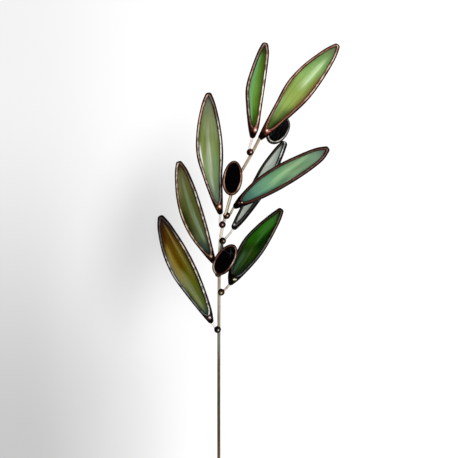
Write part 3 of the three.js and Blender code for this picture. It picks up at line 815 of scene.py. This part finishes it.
leaf_glass = {
    "low_left_leaf": dict(
        slot="amber_glass", through=0.05,
        ground=[
            (0.08, "#355040"), (0.2, "#4c5a24"), (0.42, "#5c5e0c"), (0.62, "#5a4c02"),
            (0.8, "#4c3004"), (0.95, "#2a1a14"),
        ],
        streaks=[
            ("#7f875b", -0.2, -0.6, 0.6, 0.95, 0.14, 0.5),
            ("#8c7a34", -0.35, -0.65, 0.42, 0.9, 0.42, 0.74),
            ("#5c3c00", 0.35, -0.25, 0.27, 0.95, 0.48, 0.84),
            ("#3e1800", -0.4, -0.45, 0.32, 0.95, 0.79, 0.94),
            ("#7a6c34", 0.9, 0.25, 0.26, 0.9, 0.4, 0.9),
            ("#2c3404", 1.0, 1.0, 0.5, 0.95, 0.2, 0.66),
            ("#98967c", -1.0, -1.0, 0.4, 0.95, 0.36, 0.64),
            ("#3a2000", 0.5, -0.2, 0.06, 0.6, 0.44, 0.62),
        ],
    ),
    "low_right_leaf": dict(
        slot="deep_green_glass", through=0.05,
        # Its darkest tones, at its foot, are partly the glass's own and partly painted shade.
        ground=[
            (0.1, "#1e2c1c"), (0.2, "#16280e"), (0.4, "#1e3806"), (0.6, "#205806"),
            (0.8, "#2a6a18"), (0.93, "#28382a"),
        ],
        streaks=[
            ("#105800", -1.0, -1.0, 0.3, 0.8, 0.5, 0.8),
            ("#3e5f40", -0.5, -0.1, 0.4, 0.9, 0.12, 0.38),
            ("#3c5820", 0.1, 0.05, 0.26, 0.85, 0.2, 0.48),
            ("#3c7424", -0.4, -0.25, 0.35, 0.85, 0.62, 0.92),
            ("#406c34", 0.05, 0.0, 0.22, 0.8, 0.54, 0.92),
            ("#021000", -0.3, 1.2, 0.6, 1.0, 0.47, 0.8),
            # The dark strip along its right edge is painted shade of the rim.
            ("#06200a", 1.0, 1.0, 0.4, 0.8, 0.2, 0.9),
            ("#0a2008", -0.8, -0.9, 0.3, 0.7, 0.3, 0.43),
        ],
    ),
    "mid_left_leaf": dict(
        slot="olive_glass", through=0.08,
        ground=[
            (0.1, "#22302e"), (0.18, "#38483c"), (0.28, "#525c3a"), (0.45, "#56582a"),
            (0.6, "#525828"), (0.75, "#60602e"), (0.88, "#605c38"), (0.97, "#403c24"),
        ],
        streaks=[
            ("#1c2400", -1.0, -1.0, 1.0, 0.95, 0.3, 0.56),
            ("#748a66", 0.45, -0.2, 0.4, 0.9, 0.23, 0.52),
            ("#748664", 0.45, -0.15, 0.38, 0.85, 0.52, 0.84),
            ("#8c9c82", 0.6, -0.1, 0.12, 0.6, 0.22, 0.5),
            ("#80805c", -1.0, -0.8, 0.6, 0.8, 0.68, 0.92),
            ("#2a2210", 1.15, 1.15, 0.5, 0.9, 0.58, 0.92),
        ],
    ),
    "back_right_leaf": dict(
        slot="pale_grey_glass", through=0.3,
        ground=[
            (0.1, "#a4aea4"), (0.3, "#b4bfb2"), (0.6, "#b8c4b4"), (0.9, "#96a29a"),
        ],
        streaks=[
            ("#c8cec6", -0.5, -0.4, 0.5, 0.6, 0.1, 0.95),
            ("#90a080", 0.85, 0.7, 0.4, 0.7, 0.6, 0.95),
        ],
    ),
    "high_left_leaf": dict(
        slot="grey_green_glass", through=0.08,
        ground=[
            (0.08, "#5c7260"), (0.18, "#6a8262"), (0.35, "#7c9260"), (0.55, "#7f8e54"),
            (0.75, "#7e8a5c"), (0.88, "#717a5c"), (0.97, "#5c605a"),
        ],
        streaks=[
            ("#a8b498", -0.35, 0.1, 0.42, 0.9, 0.2, 0.6),
            ("#98a486", -0.1, -0.05, 0.3, 0.7, 0.58, 0.72),
            ("#9ea28c", -0.95, -0.95, 0.35, 0.85, 0.1, 0.31),
            ("#62702c", -0.95, -0.9, 0.4, 0.9, 0.56, 0.77),
            ("#66742c", -0.42, -0.42, 0.26, 0.75, 0.5, 0.67),
            ("#c0caae", 0.0, 0.02, 0.12, 0.7, 0.35, 0.6),
            ("#5c7a34", 0.9, 0.8, 0.4, 0.75, 0.4, 0.6),
            ("#6e9468", 0.5, 0.5, 0.3, 0.5, 0.26, 0.5),
            # This white streak by the left edge is a painted highlight on the glass's edge.
            ("#ffffff", -0.82, -0.82, 0.1, 1.0, 0.43, 0.56),
        ],
    ),
    "front_right_leaf": dict(
        slot="sea_green_glass", through=0.08,
        ground=[
            (0.08, "#3a5650"), (0.18, "#4c7869"), (0.26, "#608f76"), (0.35, "#6b9a78"),
            (0.5, "#6c9c6c"), (0.62, "#7a9c73"), (0.75, "#719370"), (0.86, "#769578"),
            (0.94, "#667e6d"),
        ],
        streaks=[
            ("#98c08e", 0.86, -0.94, 0.4, 0.9, 0.4, 0.8),
            ("#38564c", 1.0, 1.0, 0.5, 0.9, 0.14, 0.5),
            ("#56765e", 0.55, 0.5, 0.3, 0.8, 0.46, 0.57),
            ("#8c9c8c", 0.9, 0.85, 0.25, 0.7, 0.52, 0.63),
            ("#5c7260", 1.05, 1.05, 0.4, 0.85, 0.62, 0.9),
            ("#668a60", 0.1, 0.15, 0.22, 0.7, 0.62, 0.8),
            ("#52766a", -1.0, -1.0, 0.4, 0.75, 0.25, 0.56),
        ],
    ),
    "top_left_leaf": dict(
        slot="grass_green_glass", through=0.08,
        ground=[
            (0.12, "#263c04"), (0.2, "#305004"), (0.27, "#46700f"), (0.36, "#5d8628"),
            (0.5, "#68923a"), (0.68, "#5b8529"), (0.82, "#4b6d14"), (0.91, "#28400b"),
        ],
        streaks=[
            ("#70b074", -0.8, -0.8, 0.75, 0.9, 0.2, 0.86),
            ("#304000", 1.1, 1.1, 1.25, 0.95, 0.0, 1.0),
        ],
    ),
    "top_right_leaf": dict(
        slot="light_green_glass", through=0.08,
        ground=[
            (0.08, "#2f3e1a"), (0.16, "#465c25"), (0.25, "#748c48"), (0.35, "#8ea854"),
            (0.45, "#8fa550"), (0.56, "#90ac5c"), (0.7, "#87ae62"), (0.85, "#709656"),
            (0.93, "#6b7b53"),
        ],
        streaks=[
            ("#c0d8a4", -0.05, 0.12, 0.42, 0.9, 0.55, 0.82),
            ("#8c9040", 0.8, 0.9, 0.6, 0.8, 0.34, 0.68),
            ("#667a30", -0.95, -0.95, 0.45, 0.75, 0.38, 0.55),
            ("#5c7444", -1.0, -1.0, 0.45, 0.65, 0.7, 0.95),
            ("#94ae84", -0.95, -0.85, 0.4, 0.8, 0.18, 0.38),
            ("#2c3400", 1.0, 1.0, 1.3, 1.0, 0.0, 0.34),
            ("#64481c", 1.1, 1.1, 0.7, 0.95, 0.28, 0.72),
            ("#5a7038", 1.1, 1.1, 0.6, 0.8, 0.72, 0.95),
            ("#0a1600", 1.0, 1.0, 1.15, 0.9, 0.0, 0.2),
        ],
    ),
}

for number, (name, sheet) in enumerate(leaf_glass.items(), 1):
    material = streaky_glass(
        f"{name}_sheet", sheet["ground"], sheet["streaks"], sheet["through"], number,
    )
    glass_pane(pane_mesh(f"{name}_pane", leaves[name]), f"{name}_glass", material)


# Olives
# Three ovals of glossy black glass, each in a narrow rim of solder like those of the leaves.

olive_width = 13.8
olive_rim = 1.75
olive_highlight_line = 0.6           # from the glass to the rim's painted highlight line
olive_egg = 0.07           # how much wider it is at its foot, and narrower at its end
olive_stations = 96
olives = {
    "low_olive": dict(length=24.4, middle=(4.5, 49.2, 19.3), bearing=33, rise=0),
    "mid_olive": dict(length=24.4, middle=(9.7, 105.7, 21.3), bearing=7, rise=0),
    "top_olive": dict(length=21.8, middle=(41.9, 139.6, 10.1), bearing=38, rise=-10.5),
}
# body is the patina's tone, copper_sheen the painted sheen's tint, and left and right the painted
# highlight line's tones from foot to tip.
olive_rims = {
    "low_olive": dict(
        body="#1e0d09", copper_sheen="#5c2f22",
        left=("#c8a898", "#6e4234", "#6e4438", "#623c30"),
        right=("#4c2c22", "#70483a", "#e0c0b0", "#a07c6c"),
    ),
    "mid_olive": dict(
        body="#1e0d08", copper_sheen="#5e2e1f",
        left=("#a4745e", "#c09078", "#b8866e", "#70442f"),
        right=("#8a5c46", "#e8c4a8", "#a8785e", "#5e3829"),
    ),
    "top_olive": dict(
        body="#0a0807", copper_sheen="#4c4542",
        left=("#e0d6cc", "#b8aaa2", "#a89e98", "#8a827e"),
        right=("#e8dcd0", "#d4c8be", "#a09690", "#7a726e"),
    ),
}
scratched = {"low_olive": 1.0, "mid_olive": 0.0, "top_olive": 0.4}


def olive_loop(length, inset):
    half = length / 2
    loop = []
    for i in range(olive_stations):
        angle = 2 * math.pi * i / olive_stations
        y = -math.cos(angle)
        width = (olive_width / 2 - inset) * (1 - olive_egg * y)
        loop.append(Vector((width * math.sin(angle), half + (half - inset) * y)))
    return loop


def olive_matrix(olive):
    bearing, rise = math.radians(olive["bearing"]), math.radians(olive["rise"])
    along = Vector((
        math.sin(bearing) * math.cos(rise), math.cos(bearing) * math.cos(rise), math.sin(rise),
    ))
    foot = Vector(olive["middle"]) - along * olive["length"] / 2
    return matrix_along(foot, Vector(olive["middle"]), 0)


def olive_pane(name, length, matrix):
    """A pane with its edge under the rim and barely crowned faces."""
    rings = 10
    crown = 0.25
    vertices, faces = [], []
    for side in (1, -1):
        for ring in range(rings + 1):
            part = 1 - ring / (rings + 1)
            for spot in olive_loop(length, olive_rim - pane_cover):
                x, y = spot.x * part, length / 2 + (spot.y - length / 2) * part
                height = glass_half + crown * (1 - part ** 2)
                vertices.append(in_frame(matrix @ Vector((x, y, side * height))))
    count = olive_stations
    layer = count * (rings + 1)
    for ring in range(rings):
        for i in range(count):
            j = (i + 1) % count
            a, b = ring * count + i, ring * count + j
            c, d = b + count, a + count
            faces.append((a, b, c, d))
            faces.append((layer + a, layer + d, layer + c, layer + b))
    faces.append(tuple(rings * count + i for i in range(count)))
    faces.append(tuple(layer + rings * count + i for i in reversed(range(count))))
    for i in range(count):
        j = (i + 1) % count
        faces.append((i, layer + i, layer + j, j))
    mesh = bpy.data.meshes.new(name)
    mesh.from_pydata(vertices, [], faces)
    for polygon in mesh.polygons:
        polygon.use_smooth = len(polygon.vertices) == 4
    return mesh


def black_glass(name, scratches):
    """Glossy black glass with a little dust, and fine scratches where it was handled."""
    material, graph, shader = finish(name, IOR=1.45)
    place = graph.place()
    ripple = graph.noise(place, 160, 2)
    dust = graph.noise(place, 900, 4)
    patch = graph.noise(place, 75, 1)
    scratch = graph.step(abs(graph.noise(place, 240, 0) - 0.5), 0.016, 0.004)
    scratch = scratch * graph.step(patch, 0.5, 0.58)
    color = graph.blend(graph.step(dust, 0.62, 0.85), "#020203", "#15151a")
    graph.feed(shader.inputs["Base Color"], graph.blend(scratches * scratch, color, "#3c3d40"))
    graph.feed(shader.inputs["Roughness"], 0.06 + 0.1 * graph.step(dust, 0.5, 0.8))
    graph.emboss(shader, ripple + 0.1 * dust, 0.2, 0.0005)
    return material


for number, (name, olive) in enumerate(olives.items(), 20):
    length, matrix = olive["length"], olive_matrix(olive)
    inside, outside = olive_loop(length, olive_rim), olive_loop(length, 0)
    mesh = bead_mesh(f"{name}_bead", inside, outside, lambda point: bead_half, matrix)
    patina = patina_solder(f"{name}_patina", (olive_highlight_line, olive_highlight_line), **olive_rims[name])
    solder_bead(mesh, f"{name}_rim", patina, depth=0.15, per_metre=130.0, seed=number)
    material = black_glass(f"{name}_sheet", scratched[name])
    glass_pane(olive_pane(f"{name}_pane", length, matrix), f"{name}_glass", material)


# Wires
# Short lengths of tinned wire, bright and pale. Each is soldered into the drop of its leaf or
# to the rim of its olive, and at the other end to the rod under a ball of solder.

wire_radius = 0.8
wire_step = 0.5            # from ring to ring of its mesh
wire_waver = 0.15
wire_depth = 1.6           # how far a wire goes into its leaf's drop
wire_depth_in_olive = 0.8
# What a wire is for, its ball, its end from the ball's middle, the direction in which it sets
# off there, its tinned top's tone with painted highlight, and its edges' painted shade tone.
wires = [
    ("low_left_leaf", 1, (-1.2, 0.4, -0.3), (-0.6, 1, 0), "#fbf8ee", "#a89a78"),
    ("low_right_leaf", 2, (0.7, 0, -0.3), (1, 0.9, 0), "#e8dcc0", "#3e2c14"),
    ("mid_left_leaf", 3, (-1.5, 0, -0.2), (-0.4, 1, 0), "#f6efe0", "#9a8460"),
    ("back_right_leaf", 4, (0.4, 0, -1.2), (1, 0.9, 0), "#ffffff", "#a49c70"),
    ("high_left_leaf", 5, (-1.5, 0.3, 0.3), (-0.2, 1, 0), "#fbf6ec", "#c2b498"),
    ("front_right_leaf", 6, (1.4, -0.4, -0.6), (1, 0.9, 0), "#d8c4a0", "#5c4420"),
    ("top_left_leaf", 7, (-0.6, 0.7, 0.1), (0, 1, 0), "#fdf6ee", "#b89c80"),
    ("mid_olive", 6, (-1.1, 0.1, 1.3), (0.2, 1, 0.3), "#dccbac", "#5e4824"),
]


def tinned_wire(name, tin_and_highlight, edge):
    """Tinned wire with its top painted near white, partly as its highlight, and its sides painted
    in the edge tone as shade.
    """
    material, graph, shader = finish(name, Metallic=0.2, Specular_IOR_Level=0.3)
    place = graph.place()
    smear = graph.noise(place, 300, 3)
    pale = graph.blend(0.25 * graph.step(smear, 0.6, 0.35), tin_and_highlight, edge)
    # The top is painted near white as its highlight and the sides darker as their shade.
    painted_shading_mask = graph.step(graph.attribute("upper") + 0.35 * (smear - 0.5), 0.88, 0.66)
    graph.feed(shader.inputs["Base Color"], graph.blend(painted_shading_mask, pale, edge))
    graph.feed(shader.inputs["Roughness"], 0.22 + 0.15 * smear)
    graph.emboss(shader, smear, 0.2, 0.00008)
    return material


def ball_middle(number):
    low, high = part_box(f"joint_ball_{number}")
    return (low + high) / 2 * 1000 - branch_start


def bent_wire(start, away, end, arrive):
    """Points along a wire that leaves both its ends in the given directions."""
    reach = (end - start).length / 3
    second = start + away.normalized() * reach
    third = end + arrive.normalized() * reach
    count = 10
    points = []
    for i in range(count + 1):
        t = i / count
        points.append(
            start * (1 - t) ** 3 + second * 3 * t * (1 - t) ** 2
            + third * 3 * t ** 2 * (1 - t) + end * t ** 3
        )
    return points


for name, ball, end, arrive, tin_and_highlight, edge in wires:
    if name in leaves:
        leaf = leaves[name]
        matrix = matrix_along(leaf["foot"], leaf["tip"], leaf["turn"])
        start = matrix @ Vector((0, wire_depth, 0))
    else:
        matrix = olive_matrix(olives[name])
        start = matrix @ Vector((0, wire_depth_in_olive, 0))
    away = matrix.to_3x3() @ Vector((0, -1, 0))
    points = bent_wire(start, away, ball_middle(ball) + Vector(end), Vector(arrive))
    tinned = tinned_wire(f"{name}_tin", tin_and_highlight, edge)
    metal_rod(
        f"{name}_stalk", points, wire_radius, wire_step, wire_waver, tinned, f"{name}_wire",
    )

# The low olive's wire runs close over the rod and is given dark tones.
low, high = (corner * 1000 - branch_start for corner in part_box("low_olive_wire"))
middle = (low + high) / 2
points = [
    (middle.x, low.y - 0.8, low.z + wire_radius),
    (middle.x, middle.y, middle.z),
    (middle.x, high.y, high.z - wire_radius),
]
tinned = tinned_wire("low_olive_tin", "#5a5a56", "#20201e")
metal_rod(
    "low_olive_stalk", points, wire_radius, wire_step, wire_waver, tinned, "low_olive_wire",
)


# Balls of solder
# At each joint on the rod the solder was built up to a round ball, as dark as the rims, that
# hides the wire's end.

ball_radius = 2.5
# For each ball, from its middle to its painted highlight spot, the spot's tone and the tone of the
# painted sheen round it.
balls = [
    (0.6, -0.3, "#e6e2cc", "#2c2c22"),
    (0.1, -0.4, "#e4dab8", "#50421f"),
    (0, 0, "#d8ccb4", "#5a4a34"),
    (0.9, -0.3, "#cdb8a4", "#4a2c1e"),
    (0.2, -0.1, "#e4cfc8", "#4c281e"),
    (0.5, -0.2, "#d8b498", "#4a2a1c"),
    (0.6, -0.2, "#f0dccc", "#5c3020"),
]


def ball_mesh(name, middle, spot):
    """A ball that knows how far each point lies from its painted highlight spot and from its
    middle, as seen from above in millimetres."""
    rings, sides = 24, 36
    vertices, faces = [], []
    known = {"from_spot": [], "from_middle": []}
    for ring in range(1, rings):
        slope = math.pi * ring / rings
        for side in range(sides):
            angle = 2 * math.pi * side / sides
            flat = ball_radius * math.sin(slope)
            x, y = flat * math.cos(angle), flat * math.sin(angle)
            vertices.append(in_frame(middle + Vector((x, y, ball_radius * math.cos(slope)))))
            known["from_spot"].append(math.hypot(x - spot[0], y - spot[1]))
            known["from_middle"].append(flat)
    for ring in range(rings - 2):
        for side in range(sides):
            a, b = ring * sides + side, ring * sides + (side + 1) % sides
            faces.append((a, a + sides, b + sides, b))
    faces.append(tuple(range(sides)))
    last = sides * (rings - 2)
    faces.append(tuple(last + side for side in reversed(range(sides))))
    mesh = bpy.data.meshes.new(name)
    mesh.from_pydata(vertices, [], faces)
    for attribute, values in known.items():
        mesh.attributes.new(attribute, "FLOAT", "POINT").data.foreach_set("value", values)
    return mesh


def ball_solder(name, highlight_tone, tone):
    """Near black patina, with a painted sheen in the tone round a painted highlight spot, and black
    towards the ball's outline as painted shade.
    """
    material, graph, shader = finish(
        name, Metallic=0.3, Specular_IOR_Level=0.08, Specular_Tint=paint("#1c1614"),
    )
    place = graph.place()
    blotch = graph.noise(place, 330, 2)
    grain = graph.noise(place, 2200, 3)
    from_spot, from_middle = graph.attribute("from_spot"), graph.attribute("from_middle")
    # The painted sheen round the spot, kept off the ball's sides, which stay black as painted shade
    # over the near black patina.
    painted_shading_mask = graph.step(from_spot + 1.6 * (blotch - 0.5), 2.0, 0.7)
    painted_shading_mask = painted_shading_mask * graph.step(from_middle, 2.1, 1.5)
    color = graph.blend(painted_shading_mask, "#070504", tone)
    color = graph.blend(0.35 * graph.step(grain, 0.55, 0.8), color, "#0d0807")
    # The painted highlight spot.
    color = graph.blend(graph.step(from_spot + 0.4 * (blotch - 0.5), 0.65, 0.25), color, highlight_tone)
    graph.feed(shader.inputs["Base Color"], color)
    graph.feed(shader.inputs["Roughness"], 0.2 + 0.1 * (grain - 0.5))
    graph.emboss(shader, blotch + 0.1 * grain, 0.3, 0.0002)
    return material


for number, (x, y, highlight_tone, tone) in enumerate(balls, 1):
    mesh = ball_mesh(f"ball_{number}", ball_middle(number), (x, y))
    patina = ball_solder(f"ball_{number}_patina", highlight_tone, tone)
    solder_bead(
        mesh, f"joint_ball_{number}", patina, depth=0.3, per_metre=250.0, seed=number + 40,
    )


# Table, light and camera
# The branch lies on a plain white table under soft light that comes mostly from the right,
# and the camera looks straight down on it.

floor_mesh = bpy.data.meshes.new("table_top")
reach = 3.0
corners = [(-reach, -reach, 0), (reach, -reach, 0), (reach, reach, 0), (-reach, reach, 0)]
floor_mesh.from_pydata(corners, [], [(0, 1, 2, 3)])
floor = bpy.data.objects.new("table_top", floor_mesh)
bpy.context.scene.collection.objects.link(floor)
white, graph, shader = finish(
    "white_table", Roughness=0.9, Specular_IOR_Level=0.0, Emission_Strength=0.98,
)
place = graph.place()
haze = graph.noise(place, 9.0, 2, stretch=(1, 0.4, 1)) - 0.5
side, up_the_table = graph.part(place, "X"), graph.part(place, "Y")
# A soft shade lies over the table's left side, deeper towards the rod's cut end, and a soft
# oval one beside the lower leaves.
shade = graph.step(side + 0.06 * haze, 0.0, -0.17)
shade = shade * (0.16 + 0.3 * graph.step(up_the_table, 0.17, -0.1))
centred = graph.node("ShaderNodeMapping", {"vector_type": "TEXTURE"}, {
    "Vector": place, "Location": (-0.07, 0.07, 0), "Rotation": (0, 0, -0.25),
    "Scale": (0.055, 0.095, 1),
})
blotch = graph.vectors("LENGTH", {0: centred}, output="Value")
shade = shade + 0.24 * graph.step(blotch + 0.5 * haze, 1.0, 0.1)
graph.feed(shader.inputs["Base Color"], graph.blend(shade, "#585858", "#000000"))
graph.feed(shader.inputs["Emission Color"], graph.blend(shade, "#ffffff", "#000000"))
floor_mesh.materials.append(white)

world = bpy.data.worlds.new("studio")
bpy.context.scene.world = world
world.use_nodes = True
graph = Graph(world.node_tree)
background = world.node_tree.nodes["Background"]
up = graph.part(graph.node("ShaderNodeTexCoord", {}, output="Generated"), "Z")
sky = graph.ramp(up, [(0.0, "#ffffff"), (0.6, "#ffffff"), (0.9, "#404040"), (1.0, "#1a1a1a")])
graph.feed(background.inputs["Color"], sky)
background.inputs["Strength"].default_value = 1.3


def soft_box(name, place, aim, size, power):
    light = bpy.data.lights.new(name, "AREA")
    light.shape = "RECTANGLE"
    light.size, light.size_y = size
    light.energy = power
    holder = bpy.data.objects.new(name, light)
    holder.location = place
    holder.rotation_euler = (Vector(aim) - Vector(place)).to_track_quat("-Z", "Y").to_euler()
    bpy.context.scene.collection.objects.link(holder)


soft_box("window", (1.1, 0.25, 1.0), (0, 0.05, 0), (0.35, 0.6), 4)
soft_box("lamp", (0.68, 0.05, 1.15), (0, 0.07, 0), (0.12, 0.12), 2.5)

camera_height = 0.763
camera_data = bpy.data.cameras.new("camera")
camera = bpy.data.objects.new("camera", camera_data)
camera.location = (-0.013743, 0.064556, camera_height)
camera_data.angle = math.radians(24.13)
camera_data.clip_start = 0.01
bpy.context.scene.collection.objects.link(camera)
bpy.context.scene.camera = camera
bpy.context.scene.view_settings.view_transform = "Standard"
